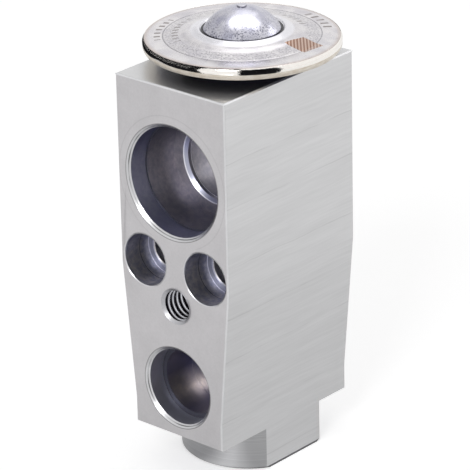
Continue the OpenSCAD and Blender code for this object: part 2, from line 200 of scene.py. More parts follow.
# How deep a point lies under the sides, the two port faces and the top tells which cut made it
half_w = add(tree, "MapRange", {0: z, 1: TAPER_LOW_Z, 2: TAPER_HIGH_Z, 3: WAIST_X, 4: BLOCK_X})[0]
off_x = add(tree, "Math", {0: x}, operation="ABSOLUTE")[0]
from_middle = add(tree, "Math", {0: y, 1: (FRONT_Y + BACK_Y) / 2}, operation="SUBTRACT")[0]
off_y = add(tree, "Math", {0: from_middle}, operation="ABSOLUTE")[0]
to_side = add(tree, "Math", {0: half_w, 1: off_x}, operation="SUBTRACT")[0]
to_face = add(tree, "Math", {0: (BACK_Y - FRONT_Y) / 2, 1: off_y}, operation="SUBTRACT")[0]
to_top = add(tree, "Math", {0: BLOCK_TOP_Z, 1: z}, operation="SUBTRACT")[0]
skin = add(tree, "Math", {0: to_side, 1: to_face}, operation="MINIMUM")[0]
skin = add(tree, "Math", {0: skin, 1: to_top}, operation="MINIMUM")[0]
above = add(tree, "Math", {0: z, 1: SHOULDER_Z - HAIR}, operation="GREATER_THAN")[0]
inside = add(tree, "Math", {0: skin, 1: PORT_CHAMFER + HAIR}, operation="GREATER_THAN")[0]
bored = add(tree, "Math", {0: inside, 1: above}, operation="MULTIPLY")[0]
on_side = add(tree, "Math", {0: to_side, 1: HAIR}, operation="LESS_THAN")[0]
on_top = add(tree, "Math", {0: to_top, 1: HAIR}, operation="LESS_THAN")[0]

# Which port a point belongs to, how far it is from that port's axis, and whether it is on the flat face
behind = add(tree, "Math", {0: y, 1: 0.0}, operation="GREATER_THAN")[0]
before = add(tree, "Math", {0: y, 1: 0.0}, operation="LESS_THAN")[0]
upper = add(tree, "Math", {0: z, 1: SUCTION_Z - SUCTION_R - MM}, operation="GREATER_THAN")[0]
liquid_z = add(tree, "Mix", {0: behind, 2: INLET_Z, 3: OUTLET_Z})[0]
port_z = add(tree, "Mix", {0: upper, 2: liquid_z, 3: SUCTION_Z})[0]
port_r = add(tree, "Mix", {0: upper, 2: LIQUID_R, 3: SUCTION_R})[0]
over_port = add(tree, "Math", {0: z, 1: port_z}, operation="SUBTRACT")[0]
to_axis = add(tree, "CombineXYZ", {"X": x, "Z": over_port})[0]
to_axis = add(tree, "VectorMath", {0: to_axis}, operation="LENGTH")["Value"]
rim_gap = add(tree, "Math", {0: to_axis, 1: port_r}, operation="SUBTRACT")[0]
beside_port = add(tree, "Math", {0: rim_gap, 1: PORT_CHAMFER}, operation="GREATER_THAN")[0]
within_edges = add(tree, "Math", {0: to_side, 1: to_top}, operation="MINIMUM")[0]
within_edges = add(tree, "Math", {0: within_edges, 1: EDGE_BREAK}, operation="GREATER_THAN")[0]
on_face = add(tree, "Math", {0: to_face, 1: RIM_CHAMFER + HAIR}, operation="LESS_THAN")[0]
on_face = add(tree, "Math", {0: on_face, 1: beside_port}, operation="MULTIPLY")[0]
on_face = add(tree, "Math", {0: on_face, 1: within_edges}, operation="MULTIPLY")[0]

# How far it is from the axis of a fixing hole, whose chamfered rim the mesh leaves flat
across = add(tree, "Math", {0: off_x, 1: BOLT_X}, operation="SUBTRACT")[0]
along = add(tree, "Math", {0: z, 1: BOLT_Z}, operation="SUBTRACT")[0]
to_bolt = add(tree, "CombineXYZ", {"X": across, "Z": along})[0]
to_bolt = add(tree, "VectorMath", {0: to_bolt}, operation="LENGTH")["Value"]
on_rim = add(tree, "Math", {0: to_bolt, 1: COUNTERBORE_R + RIM_CHAMFER}, operation="LESS_THAN")[0]
on_rim = add(tree, "Math", {0: on_rim, 1: on_face}, operation="MULTIPLY")[0]
on_rim = add(tree, "Math", {0: on_rim, 1: before}, operation="MULTIPLY")[0]
flat = add(tree, "Math", {0: on_side, 1: on_face}, operation="MAXIMUM")[0]
flat = add(tree, "Math", {0: flat, 1: on_top}, operation="MAXIMUM")[0]
flat = add(tree, "Math", {0: flat, 1: on_rim}, operation="SUBTRACT")[0]

# The cutter's lines run along the depth of the two sides: soft fine ones, and a few long thin ones
bend = add(tree, "TexNoise", {"Vector": place, "Scale": 1 / BEND_REACH})[0]
bend = add(tree, "Math", {0: bend, 1: LINE_BEND}, operation="MULTIPLY")[0]
bent_z = add(tree, "Math", {0: z, 1: bend}, operation="ADD")[0]
bent = add(tree, "CombineXYZ", {"Y": y, "Z": bent_z})[0]
drawn = add(tree, "Mapping", {"Vector": bent, "Scale": (0, 1 / LINE_REACH, 1 / LINE_STEP)})[0]
fine = add(tree, "TexNoise", {"Vector": drawn, "Scale": 1.0, "Detail": 3.0})[0]
drawn = add(tree, "Mapping", {"Vector": bent, "Scale": (0, 1 / BAND_REACH, 1 / BAND_STEP)})[0]
broad = add(tree, "TexNoise", {"Vector": drawn, "Scale": 1.0})[0]
spacing = add(tree, "Mapping", {"Vector": bent, "Scale": (0, 0, 1 / SHIFT_STEP)})[0]
spacing = add(tree, "TexNoise", {"Vector": spacing, "Scale": 1.0})[0]
spacing = add(tree, "Math", {0: spacing, 1: SCRATCH_SHIFT, 2: bent_z}, operation="MULTIPLY_ADD")[0]
scratch = add(tree, "Math", {0: spacing, 1: SCRATCH_STEP / 2}, operation="PINGPONG")[0]
scratch = add(tree, "MapRange", {0: scratch, 1: SCRATCH_CORE, 2: SCRATCH_HALF_W, 3: 1.0, 4: 0.0})[0]
broken = add(tree, "TexNoise", {"Vector": place, "Scale": 1 / SCRATCH_BREAK})[0]
broken = add(tree, "MapRange", {0: broken, 1: 0.38, 2: 0.55, 3: 0.2, 4: 1.0})[0]
scratch = add(tree, "Math", {0: scratch, 1: broken}, operation="MULTIPLY")[0]
fine_tone = add(tree, "MapRange", {0: fine, 1: 0.3, 2: 0.7, 3: 0.957, 4: 1.03})[0]
broad_tone = add(tree, "MapRange", {0: broad, 1: 0.3, 2: 0.7, 3: 0.97, 4: 1.025})[0]
side_tone = add(tree, "Math", {0: fine_tone, 1: broad_tone}, operation="MULTIPLY")[0]
scratch_tone = add(tree, "MapRange", {0: scratch, 3: 1.0, 4: 0.88})[0]
side_tone = add(tree, "Math", {0: side_tone, 1: scratch_tone}, operation="MULTIPLY")[0]

# The port faces and the top are faced flat, with soft blotches and an even grain, coarser here than real
grain = add(tree, "TexNoise", {"Vector": place, "Scale": 1 / GRAIN})[0]
blotch = add(tree, "TexNoise", {"Vector": place, "Scale": 1 / BLOTCH})[0]
grain_tone = add(tree, "MapRange", {0: grain, 1: 0.3, 2: 0.7, 3: 0.975, 4: 1.025})[0]
blotch_tone = add(tree, "MapRange", {0: blotch, 1: 0.3, 2: 0.7, 3: 0.88, 4: 0.95})[0]
face_tone = add(tree, "Math", {0: grain_tone, 1: blotch_tone}, operation="MULTIPLY")[0]

# Each port has a fine dark line where its chamfer starts and a patchy dark ring on the chamfer, both painted
# shade, the ring standing for a turned groove; round the suction port lies the faint ring of a spot-facing
# tool
patchy_shade = add(tree, "TexNoise", {"Vector": place, "Scale": 1 / GROOVE_SHADE_PATCH})[0]
patchy_shade = add(tree, "MapRange", {0: patchy_shade, 1: 0.38, 2: 0.6})[0]
patchy_shade = add(tree, "Math", {0: patchy_shade, 1: 0.85}, operation="MULTIPLY")[0]
faint = add(tree, "Math", {0: upper, 1: 0.09}, operation="MULTIPLY")[0]
shade_and_marks = 0.0
for gap, half_width, strength in ((PORT_CHAMFER + HAIR, 0.1 * MM, 0.55),
                                  (GROOVE_SHADE_GAP, 0.09 * MM, patchy_shade),
                                  (SPOTFACE_R - SUCTION_R, 0.15 * MM, faint)):
    away = add(tree, "Math", {0: rim_gap, 1: gap}, operation="SUBTRACT")[0]
    away = add(tree, "Math", {0: away}, operation="ABSOLUTE")[0]
    ring = add(tree, "MapRange", {0: away, 1: half_width / 4, 2: half_width, 3: strength, 4: 0.0})[0]
    shade_and_marks = add(tree, "Math", {0: ring, 1: shade_and_marks}, operation="MAXIMUM")[0]
near_face = add(tree, "Math", {0: to_face, 1: PORT_CHAMFER + HAIR}, operation="LESS_THAN")[0]
shade_and_marks = add(tree, "Math", {0: shade_and_marks, 1: near_face}, operation="MULTIPLY")[0]
clear_of_shade_and_marks = add(tree, "Math", {0: 1.0, 1: shade_and_marks}, operation="SUBTRACT")[0]

# Bored walls: turned rings, a bluish mouth, and mottled warm patches where cutting oil has dulled the bore
turned = add(tree, "Mapping", {"Vector": place, "Scale": (0, 1 / TURNED_STEP, 0)})[0]
turned = add(tree, "TexNoise", {"Vector": turned, "Scale": 1.0})[0]
mottle = add(tree, "TexNoise", {"Vector": place, "Scale": 1 / OIL_SPOT, "Detail": 6.0, "Roughness": 0.65})[0]
mottled = add(tree, "MapRange", {0: mottle, 1: 0.38, 2: 0.66})[0]
step_l = add(tree, "MapRange", {0: upper, 3: LIQUID_STEP_L, 4: SUCTION_STEP_L})[0]
past_step = add(tree, "Math", {0: to_face, 1: step_l}, operation="GREATER_THAN")[0]
on_step = add(tree, "Math", {0: to_face, 1: step_l, 2: HAIR}, operation="COMPARE")[0]
mouth = add(tree, "Mix", {0: mottled, 6: colour("#b0b1c6"), 7: colour("#c0c1d0")}, data_type="RGBA")[2]
mouth = add(tree, "Mix", {0: upper, 6: colour("#d2d3dc"), 7: mouth}, data_type="RGBA")[2]
bore = add(tree, "Mix", {0: mottled, 6: colour("#a4a2ac"), 7: colour("#c0bbc0")}, data_type="RGBA")[2]
liquid_bore = add(tree, "Mix", {0: mottled, 6: colour("#d0cacc"), 7: colour("#e4dcd8")}, data_type="RGBA")[2]
bore = add(tree, "Mix", {0: upper, 6: liquid_bore, 7: bore}, data_type="RGBA")[2]
wall = add(tree, "Mix", {0: past_step, 6: mouth, 7: bore}, data_type="RGBA")[2]

# A bore's crown and its bottom are painted dark and bluish, painted shade for the dim walls that a bore
# mirrors, and a lighter band is left low between them. Heights are shares of the bore's radius, each for a
# liquid bore and then for the suction bore, and the pilot of a liquid bore is spared most of the painted
# shade
height = add(tree, "Math", {0: over_port, 1: port_r}, operation="DIVIDE")[0]
bottom = add(tree, "MapRange", {0: upper, 3: -0.85, 4: -0.9})[0]
band_low = add(tree, "MapRange", {0: upper, 3: -0.62, 4: -0.45})[0]
band_high = add(tree, "MapRange", {0: upper, 3: -0.58, 4: 0.1})[0]
crown = add(tree, "MapRange", {0: upper, 3: -0.1, 4: 0.75})[0]
bottom_shade_share = add(tree, "MapRange", {0: upper, 3: 0.9, 4: 0.5})[0]
under_band = add(tree, "MapRange", {0: height, 1: bottom, 2: band_low, 3: bottom_shade_share, 4: 0.0})[0]
over_band = add(tree, "MapRange", {0: height, 1: band_high, 2: crown, 3: 0.0, 4: 0.95})[0]
painted_bore_shade = add(tree, "Math", {0: over_band, 1: under_band}, operation="MAXIMUM")[0]
spared = add(tree, "Math", {0: past_step, 1: upper}, operation="MAXIMUM")[0]
spared = add(tree, "MapRange", {0: spared, 3: 0.25, 4: 1.0})[0]
painted_bore_shade = add(tree, "Math", {0: painted_bore_shade, 1: spared}, operation="MULTIPLY")[0]
bore_shade_tone = add(tree, "Mix", {0: upper, 6: colour("#8e8ea4"), 7: colour("#5c5e88")}, data_type="RGBA")[2]
deep_bore_shade_tone = add(tree, "Mix", {0: upper, 6: colour("#76758c"), 7: colour("#44445a")}, data_type="RGBA")[2]
bore_shade_tone = add(tree, "Mix", {0: past_step, 6: bore_shade_tone, 7: deep_bore_shade_tone}, data_type="RGBA")[2]
wall = add(tree, "Mix", {0: painted_bore_shade, 6: wall, 7: bore_shade_tone}, data_type="RGBA")[2]

# The web that narrows the suction passage is smoother than the walls; its chamfer is painted lighter and its
# two edges carry thin painted highlights
on_web = add(tree, "Math", {0: to_face, 1: WEB_L + WEB_T / 2, 2: WEB_T / 2 + HAIR}, operation="COMPARE")[0]
in_mouth = add(tree, "Math", {0: to_axis, 1: WEB_MOUTH_R + HAIR}, operation="LESS_THAN")[0]
on_web = add(tree, "Math", {0: on_web, 1: in_mouth}, operation="MULTIPLY")[0]
on_web = add(tree, "Math", {0: on_web, 1: upper}, operation="MULTIPLY")[0]
web_painted_glint = add(tree, "Math", {0: to_axis, 1: WEB_MOUTH_R, 2: WEB_GLINT}, operation="COMPARE")[0]
web_end = add(tree, "Math", {0: to_face, 1: WEB_L + WEB_T, 2: WEB_GLINT}, operation="COMPARE")[0]
web_painted_glint = add(tree, "Math", {0: web_painted_glint, 1: web_end}, operation="MAXIMUM")[0]
in_throat = add(tree, "Math", {0: to_face, 1: WEB_L + PORT_CHAMFER}, operation="GREATER_THAN")[0]
web = add(tree, "Mix", {0: in_throat, 6: colour("#b6b7c8"), 7: colour("#9f9da8")}, data_type="RGBA")[2]
web = add(tree, "Mix", {0: web_painted_glint, 6: web, 7: colour("#f4f4fa")}, data_type="RGBA")[2]
wall = add(tree, "Mix", {0: on_web, 6: wall, 7: web}, data_type="RGBA")[2]

# A counterbore is warm where it faces the light, painted dark blue under its crown as painted shade, and
# given a thin painted highlight in the corner of its floor
in_hole = add(tree, "Math", {0: to_bolt, 1: COUNTERBORE_R + HAIR}, operation="LESS_THAN")[0]
on_floor = add(tree, "Math", {0: to_face, 1: COUNTERBORE_L, 2: 2 * HAIR}, operation="COMPARE")[0]
floor_corner_glint = add(tree, "Math", {0: to_bolt, 1: COUNTERBORE_R, 2: 2 * HAIR}, operation="COMPARE")[0]
floor_tone = add(tree, "Mix", {0: floor_corner_glint, 6: colour("#a6a9bc"), 7: colour("#dcdce8")}, data_type="RGBA")[2]
hole_painted_shade = add(tree, "MapRange", {0: along, 1: -0.1 * COUNTERBORE_R, 2: 0.8 * COUNTERBORE_R, 3: 0.0, 4: 0.8})[0]
hole = add(tree, "Mix", {0: mottled, 6: colour("#aeaeba"), 7: colour("#dcd8d6")}, data_type="RGBA")[2]
hole = add(tree, "Mix", {0: hole_painted_shade, 6: hole, 7: colour("#4e5270")}, data_type="RGBA")[2]
hole = add(tree, "Mix", {0: on_floor, 6: hole, 7: floor_tone}, data_type="RGBA")[2]
wall = add(tree, "Mix", {0: in_hole, 6: wall, 7: hole}, data_type="RGBA")[2]
# The shoulder of each bore's step is painted dark: painted shade
wall = add(tree, "Mix", {0: on_step, 6: wall, 7: colour("#56565f")}, data_type="RGBA")[2]

# The foot is turned: fine rings; the dark line where its lower edge is broken is painted shade
foot_ring = add(tree, "Mapping", {"Vector": place, "Scale": (0, 0, 1 / TURNED_STEP)})[0]
foot_ring = add(tree, "TexNoise", {"Vector": foot_ring, "Scale": 1.0, "Detail": 3.0})[0]
foot_ring = add(tree, "MapRange", {0: foot_ring, 1: 0.3, 2: 0.7})[0]
foot = add(tree, "Mix", {0: foot_ring, 6: colour("#a0a0a2"), 7: colour("#b9b9ba")}, data_type="RGBA")[2]

# The outside takes its tones and marks, and its broken edges are painted brighter than the flats, a painted
# highlight
outside = add(tree, "Mix", {0: on_side, 2: face_tone, 3: side_tone})[0]
outside = add(tree, "Math", {0: outside, 1: clear_of_shade_and_marks}, operation="MULTIPLY")[0]
plain = add(tree, "Mix", {0: on_face, 6: colour("#d2d2d3"), 7: colour("#d4d2d4")}, data_type="RGBA")[2]
painted_edge_glint = add(tree, "Mix", {0: within_edges, 6: colour("#e8e8ea"), 7: colour("#d8d8da")}, data_type="RGBA")[2]
cut = add(tree, "Mix", {0: flat, 6: painted_edge_glint, 7: plain}, data_type="RGBA")[2]
cut = add(tree, "Mix", {0: 1.0, 6: cut, 7: outside}, data_type="RGBA", blend_type="MULTIPLY")[2]
tone = add(tree, "Mix", {0: bored, 6: cut, 7: wall}, data_type="RGBA")[2]
tone = add(tree, "Mix", {0: above, 6: foot, 7: tone}, data_type="RGBA")[2]
tone = add(tree, "Mix", {0: on_side, 6: tone, 7: cut}, data_type="RGBA")[2]
# The foot's broken lower edge is painted dark: painted shade
painted_foot_shade = add(tree, "Math", {0: z, 1: FOOT_CHAMFER}, operation="LESS_THAN")[0]
tone = add(tree, "Mix", {0: painted_foot_shade, 6: tone, 7: colour("#6c6c6e")}, data_type="RGBA")[2]

# Flats and bored walls are satin; broken edges, the foot, the web and, a little, the top are smoother
rough = add(tree, "MapRange", {0: flat, 3: 0.29, 4: 0.42})[0]
rough = add(tree, "Math", {0: bored, 1: 0.14, 2: rough}, operation="MULTIPLY_ADD")[0]
rough = add(tree, "Math", {0: on_top, 1: -0.06, 2: rough}, operation="MULTIPLY_ADD")[0]
rough = add(tree, "Math", {0: on_web, 1: -0.15, 2: rough}, operation="MULTIPLY_ADD")[0]
relief = add(tree, "Mix", {0: on_side, 2: grain, 3: fine})[0]
relief = add(tree, "Mix", {0: bored, 2: relief, 3: turned})[0]
rounded = add(tree, "Bevel", {"Radius": EDGE_ROUND}, samples=3)[0]

# The mesh skips the fine chamfers of the small holes, so the faces and these rims get their true directions
outward = add(tree, "MapRange", {0: behind, 3: -1.0, 4: 1.0})[0]
straight = add(tree, "CombineXYZ", {"Y": outward})[0]
turn_x = add(tree, "Math", {0: x}, operation="SIGN")[0]
turn_x = add(tree, "Math", {0: turn_x, 1: across}, operation="MULTIPLY")[0]
to_middle = add(tree, "CombineXYZ", {"X": turn_x, "Z": along})[0]
to_middle = add(tree, "VectorMath", {0: to_middle}, operation="NORMALIZE")[0]
slanted = add(tree, "VectorMath", {0: straight, 1: to_middle}, operation="SUBTRACT")[0]
slanted = add(tree, "VectorMath", {0: slanted}, operation="NORMALIZE")[0]
straight = add(tree, "Mix", {0: on_rim, 4: straight, 5: slanted}, data_type="VECTOR")[1]
direction = add(tree, "Mix", {0: on_face, 4: rounded, 5: straight}, data_type="VECTOR")[1]
bump = add(tree, "Bump", {"Strength": 0.25, "Distance": 0.02 * MM, "Height": relief, "Normal": direction})[0]
drive(shader, {"Base Color": tone, "Roughness": rough, "Normal": bump})
dress("valve_block", block_metal)

# Thread of the stud hole
# An M6 thread cut in the block with a tap, behind a short countersink. The turns are bright, sharp ridges, so
# they are real geometry: a 1 mm pitch helix that stands on the hole's plain wall.
STUD_Z = 30.1 * MM
THREAD_R = 3.0 * MM
CREST_R = 2.5 * MM
PITCH = 1.0 * MM
CREST_W = 0.2 * MM
SINK_L = 0.5 * MM
TURNS = 9
TURN_STEPS = 48
OVERLAP = 0.03 * MM
TEAR = 0.25 * MM
ROOT_EDGE = 0.04 * MM
ROOT_FADE = 0.2 * MM


def spun(mesh, outline, centre, axis, steps, turns=1.0, rise=0.0):
    """Spins a closed outline of points round an axis; with a rise it becomes a helix with closed ends."""
    corners = [mesh.verts.new(point) for point in outline]
    edges = [mesh.edges.new((corners[i - 1], corners[i])) for i in range(len(corners))]
    ring = bmesh.ops.spin(mesh, geom=corners + edges, cent=centre, axis=axis,
                          dvec=Vector(axis) * rise / steps, angle=math.radians(360 * turns),
                          steps=round(steps * turns), use_merge=not rise)
    if rise:
        last = [item for item in ring["geom_last"] if isinstance(item, bmesh.types.BMEdge)]
        bmesh.ops.contextual_create(mesh, geom=edges)
        bmesh.ops.contextual_create(mesh, geom=last)


def made(name, mesh, material):
    """Makes an object of a bmesh."""
    data = bpy.data.meshes.new(name)
    mesh.to_mesh(data)
    mesh.free()
    data.materials.append(material)
    thing = bpy.data.objects.new(name, data)
    bpy.context.collection.objects.link(thing)
    return thing


def piece(name, mesh, material, sharp):
    """Makes a piece of a bmesh: outward faces, smooth shading, sharp edges, riding on the housing."""
    bmesh.ops.remove_doubles(mesh, verts=mesh.verts, dist=1e-7)
    bmesh.ops.recalc_face_normals(mesh, faces=mesh.faces)
    for face in mesh.faces:
        face.smooth = True
    thing = made(name, mesh, material)
    thing.data.set_sharp_from_angle(angle=math.radians(sharp))
    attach(thing, "housing")
    return thing


# Tapped aluminium: bright where the tap has cut a crest; the roots are painted nearly black, painted shade
cut_metal, tree, shader = finish("tapped_aluminium", {"Metallic": 1.0})
place = add(tree, "TexCoord")["Object"]
tear = add(tree, "TexNoise", {"Vector": place, "Scale": 1 / TEAR})[0]
centred = add(tree, "Mapping", {"Vector": place, "Location": (0, 0, -STUD_Z), "Scale": (1, 0, 1)})[0]
reach = add(tree, "VectorMath", {0: centred}, operation="LENGTH")["Value"]
painted_root_shade = add(tree, "MapRange", {0: reach, 1: CREST_R + ROOT_EDGE, 2: CREST_R + ROOT_EDGE + ROOT_FADE})[0]
y = add(tree, "SeparateXYZ", {0: place})["Y"]
past_sink = add(tree, "Math", {0: y, 1: FRONT_Y + SINK_L + HAIR}, operation="GREATER_THAN")[0]
painted_root_shade = add(tree, "Math", {0: painted_root_shade, 1: past_sink}, operation="MULTIPLY")[0]
crest = add(tree, "Mix", {0: tear, 6: colour("#bcbcc6"), 7: colour("#f0f0f4")}, data_type="RGBA")[2]
sink = add(tree, "Mix", {0: tear, 6: colour("#b0b0b4"), 7: colour("#c6c6c9")}, data_type="RGBA")[2]
tone = add(tree, "Mix", {0: past_sink, 6: sink, 7: crest}, data_type="RGBA")[2]
tone = add(tree, "Mix", {0: painted_root_shade, 6: tone, 7: colour("#15151c")}, data_type="RGBA")[2]
rough = add(tree, "MapRange", {0: past_sink, 3: 0.4, 4: 0.2})[0]
bump = add(tree, "Bump", {"Strength": 0.4, "Distance": 0.02 * MM, "Height": tear})[0]
drive(shader, {"Base Color": tone, "Roughness": rough, "Normal": bump})

mesh = bmesh.new()
start = FRONT_Y + SINK_L
flank = (PITCH - 2 * OVERLAP) / 2
hole_middle = Vector((0, 0, STUD_Z))
into = Vector((0, 1, 0))
spun(mesh, [(THREAD_R + OVERLAP, start, STUD_Z), (CREST_R, start + flank - CREST_W / 2, STUD_Z),
            (CREST_R, start + flank + CREST_W / 2, STUD_Z), (THREAD_R + OVERLAP, start + 2 * flank, STUD_Z)],
     hole_middle, into, TURN_STEPS, TURNS, PITCH)
sink_r = CREST_R + 3 * OVERLAP
spun(mesh, [(THREAD_R + 2 * OVERLAP, FRONT_Y + OVERLAP, STUD_Z), (sink_r, start, STUD_Z),
            (sink_r, start + OVERLAP, STUD_Z), (THREAD_R + OVERLAP, start + PITCH / 2, STUD_Z)],
     hole_middle, into, 2 * TURN_STEPS)
piece("stud_thread", mesh, cut_metal, 20)

# Upper cover of the head
# A disc pressed from stainless sheet: a flat annulus, a crease, a rise in two stages to a raised ring, and a
# dome behind a narrow crevice. It takes the place of the plain solid of the same form, turned more finely.
AXIS_Y = (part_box("head_upper_cover")[0][1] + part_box("head_upper_cover")[1][1]) / 2
RIM_R = 15.6 * MM
RIM_Z = 70.2 * MM
FACE_Z = 71.05 * MM
CREASE_R = 12.6 * MM
CREASE_RISE = 0.14 * MM
STAGE_R = 9.7 * MM
STAGE_Z = 71.56 * MM
STAGE_L = 0.65 * MM
RING_OUTER_R = 8.05 * MM
RING_R = 7.0 * MM
RING_Z = 72.42 * MM
CREVICE_R = 6.55 * MM
CREVICE_Z = 72.1 * MM
DOME_R = 7.05 * MM
DOME_CENTRE_Z = 68.85 * MM
COVER_T = 0.85 * MM
PLUG_R = 0.8 * MM
HEAD_STEPS = 192
EDGE_EASE = 0.1 * MM
CREASE_HALF_W = 0.15 * MM
CREASE_DEPTH = 0.06 * MM
STAGE_RISE = 0.26 * MM
RING_RISE = 0.42 * MM
RING_ROUND = 0.32 * MM
CLOUD = 2.2 * MM
PEEN = 0.24 * MM
PIT_PATCH = 2.6 * MM
WORN_LOW_Z = 73.4 * MM
WORN_HIGH_Z = 74.8 * MM
DULL_START = 0.6 * MM
DULL_END = 0.5 * MM
CREASE_CORE = 0.04 * MM
CREASE_EDGE = 0.13 * MM
TINT_L = 0.8 * MM
RING_FADE = 0.4 * MM
CREVICE_SHADE_LOW = 0.1 * MM
CREVICE_SHADE_HIGH = 0.24 * MM
CREVICE_SHADE_SPREAD = 0.04 * MM
STROKE_STEP = math.radians(3.5)
STROKE_CORE = math.radians(1.0)
STROKE_EDGE = math.radians(1.6)
PATCH_X = 11.2 * MM
PATCH_Y = 1.8 * MM
PATCH_W = 4.3 * MM
PATCH_TURN = math.radians(3)
HATCH_STEP = 0.36 * MM


def arc(centre_r, centre_z, radius, first, last, count):
    """Points of an arc in the head's section, as (distance from the axis, height)."""
    angles = [math.radians(first + (last - first) * i / count) for i in range(count + 1)]
    return [(centre_r + radius * math.cos(a), centre_z + radius * math.sin(a)) for a in angles]


def line(start_r, start_z, end_r, end_z, count):
    """Points along a straight stretch of the section, without its ends."""
    steps = [i / count for i in range(1, count)]
    return [(start_r + (end_r - start_r) * t, start_z + (end_z - start_z) * t) for t in steps]


def turned_piece(name, section, material, sharp):
    """Spins a closed section round the valve's axis and makes it a piece."""
    mesh = bmesh.new()
    spun(mesh, [(r, AXIS_Y, height) for r, height in section], Vector((0, AXIS_Y, 0)), (0, 0, 1), HEAD_STEPS)
    return piece(name, mesh, material, sharp)


# Pressed stainless sheet: satin and slightly uneven, brighter on the ring, peened and bluish on the dome
cover_metal, tree, shader = finish("pressed_stainless", {"Metallic": 1.0})
place = add(tree, "TexCoord")["Object"]
centred = add(tree, "Mapping", {"Vector": place, "Location": (0, -AXIS_Y, 0)})[0]
x, y, z = add(tree, "SeparateXYZ", {0: centred})
flattened = add(tree, "CombineXYZ", {"X": x, "Y": y})[0]
reach = add(tree, "VectorMath", {0: flattened}, operation="LENGTH")["Value"]
cloud = add(tree, "TexNoise", {"Vector": centred, "Scale": 1 / CLOUD, "Detail": 3.0})[0]
clouded = add(tree, "MapRange", {0: cloud, 1: 0.32, 2: 0.68})[0]
peen = add(tree, "TexNoise", {"Vector": centred, "Scale": 1 / PEEN, "Detail": 3.0})[0]
sheet = add(tree, "Mix", {0: clouded, 6: colour("#c9c6cb"), 7: colour("#dcd9da")}, data_type="RGBA")[2]

# Between the crease and the first stage the die has left the sheet dull and spotted; the crease itself is
# painted dark, painted shade
band_in = add(tree, "MapRange", {0: reach, 1: STAGE_R, 2: STAGE_R + DULL_START})[0]
band_out = add(tree, "MapRange", {0: reach, 1: CREASE_R - DULL_END, 2: CREASE_R, 3: 1.0, 4: 0.0})[0]
spots = add(tree, "MapRange", {0: peen, 1: 0.47, 2: 0.63, 3: 0.0, 4: 0.6})[0]
spots = add(tree, "Math", {0: spots, 1: band_in}, operation="MULTIPLY")[0]
spots = add(tree, "Math", {0: spots, 1: band_out}, operation="MULTIPLY")[0]
off_crease = add(tree, "Math", {0: reach, 1: CREASE_R}, operation="SUBTRACT")[0]
off_crease = add(tree, "Math", {0: off_crease}, operation="ABSOLUTE")[0]
crease_shade = add(tree, "MapRange", {0: off_crease, 1: CREASE_CORE, 2: CREASE_EDGE, 3: 0.7, 4: 0.0})[0]
spots_and_crease_shade = add(tree, "Math", {0: spots, 1: crease_shade}, operation="MAXIMUM")[0]
sheet = add(tree, "Mix", {0: spots_and_crease_shade, 6: sheet, 7: colour("#737178")}, data_type="RGBA")[2]

# Plain marks: short etched strokes in four arcs, one brown patch burnt with slanting lines, and the tint
# that the weld's heat leaves along the edge
strokes = 0.0
for middle, half_span, middle_r, half_l in ((209, 21, 13.5 * MM, 0.5 * MM), (212, 32, 10.7 * MM, 0.5 * MM),
                                            (67, 17, 13.8 * MM, 0.7 * MM), (75, 18, 10.1 * MM, 0.5 * MM)):
    swung = add(tree, "Mapping", {"Vector": flattened, "Rotation": (0, 0, math.radians(-middle))})[0]
    ahead, aside = add(tree, "SeparateXYZ", {0: swung})[:2]
    bearing = add(tree, "Math", {0: aside, 1: ahead}, operation="ARCTAN2")[0]
    in_arc = add(tree, "Math", {0: bearing, 1: 0.0, 2: math.radians(half_span)}, operation="COMPARE")[0]
    in_ring = add(tree, "Math", {0: reach, 1: middle_r, 2: half_l}, operation="COMPARE")[0]
    turn = add(tree, "Math", {0: bearing, 1: STROKE_STEP}, operation="PINGPONG")[0]
    stroke = add(tree, "MapRange", {0: turn, 1: STROKE_CORE, 2: STROKE_EDGE, 3: 0.9, 4: 0.0})[0]
    stroke = add(tree, "Math", {0: stroke, 1: in_arc}, operation="MULTIPLY")[0]
    stroke = add(tree, "Math", {0: stroke, 1: in_ring}, operation="MULTIPLY")[0]
    strokes = add(tree, "Math", {0: stroke, 1: strokes}, operation="MAXIMUM")[0]
worn = add(tree, "MapRange", {0: cloud, 1: 0.35, 2: 0.55, 3: 0.35, 4: 1.0})[0]
strokes = add(tree, "Math", {0: strokes, 1: worn}, operation="MULTIPLY")[0]
sheet = add(tree, "Mix", {0: strokes, 6: sheet, 7: colour("#7a7270")}, data_type="RGBA")[2]
moved = add(tree, "Mapping", {"Vector": flattened, "Location": (-PATCH_X, -PATCH_Y, 0)})[0]
swung = add(tree, "Mapping", {"Vector": moved, "Rotation": (0, 0, PATCH_TURN)})[0]
ahead, aside = add(tree, "SeparateXYZ", {0: swung})[:2]
in_width = add(tree, "Math", {0: ahead, 1: 0.0, 2: PATCH_W / 2}, operation="COMPARE")[0]
in_depth = add(tree, "Math", {0: aside, 1: 0.0, 2: PATCH_W / 2}, operation="COMPARE")[0]
in_patch = add(tree, "Math", {0: in_width, 1: in_depth}, operation="MULTIPLY")[0]
slant = add(tree, "Math", {0: ahead, 1: aside}, operation="ADD")[0]
hatch = add(tree, "Math", {0: slant, 1: HATCH_STEP}, operation="PINGPONG")[0]
hatch = add(tree, "MapRange", {0: hatch, 1: HATCH_STEP / 3, 2: HATCH_STEP * 2 / 3})[0]
burnt = add(tree, "Mix", {0: hatch, 6: colour("#8a6553"), 7: colour("#c4aa9c")}, data_type="RGBA")[2]
sheet = add(tree, "Mix", {0: in_patch, 6: sheet, 7: burnt}, data_type="RGBA")[2]
tinted = add(tree, "MapRange", {0: reach, 1: RIM_R - TINT_L, 2: RIM_R - EDGE_EASE, 3: 0.0, 4: 0.55})[0]
sheet = add(tree, "Mix", {0: tinted, 6: sheet, 7: colour("#b3a093")}, data_type="RGBA")[2]
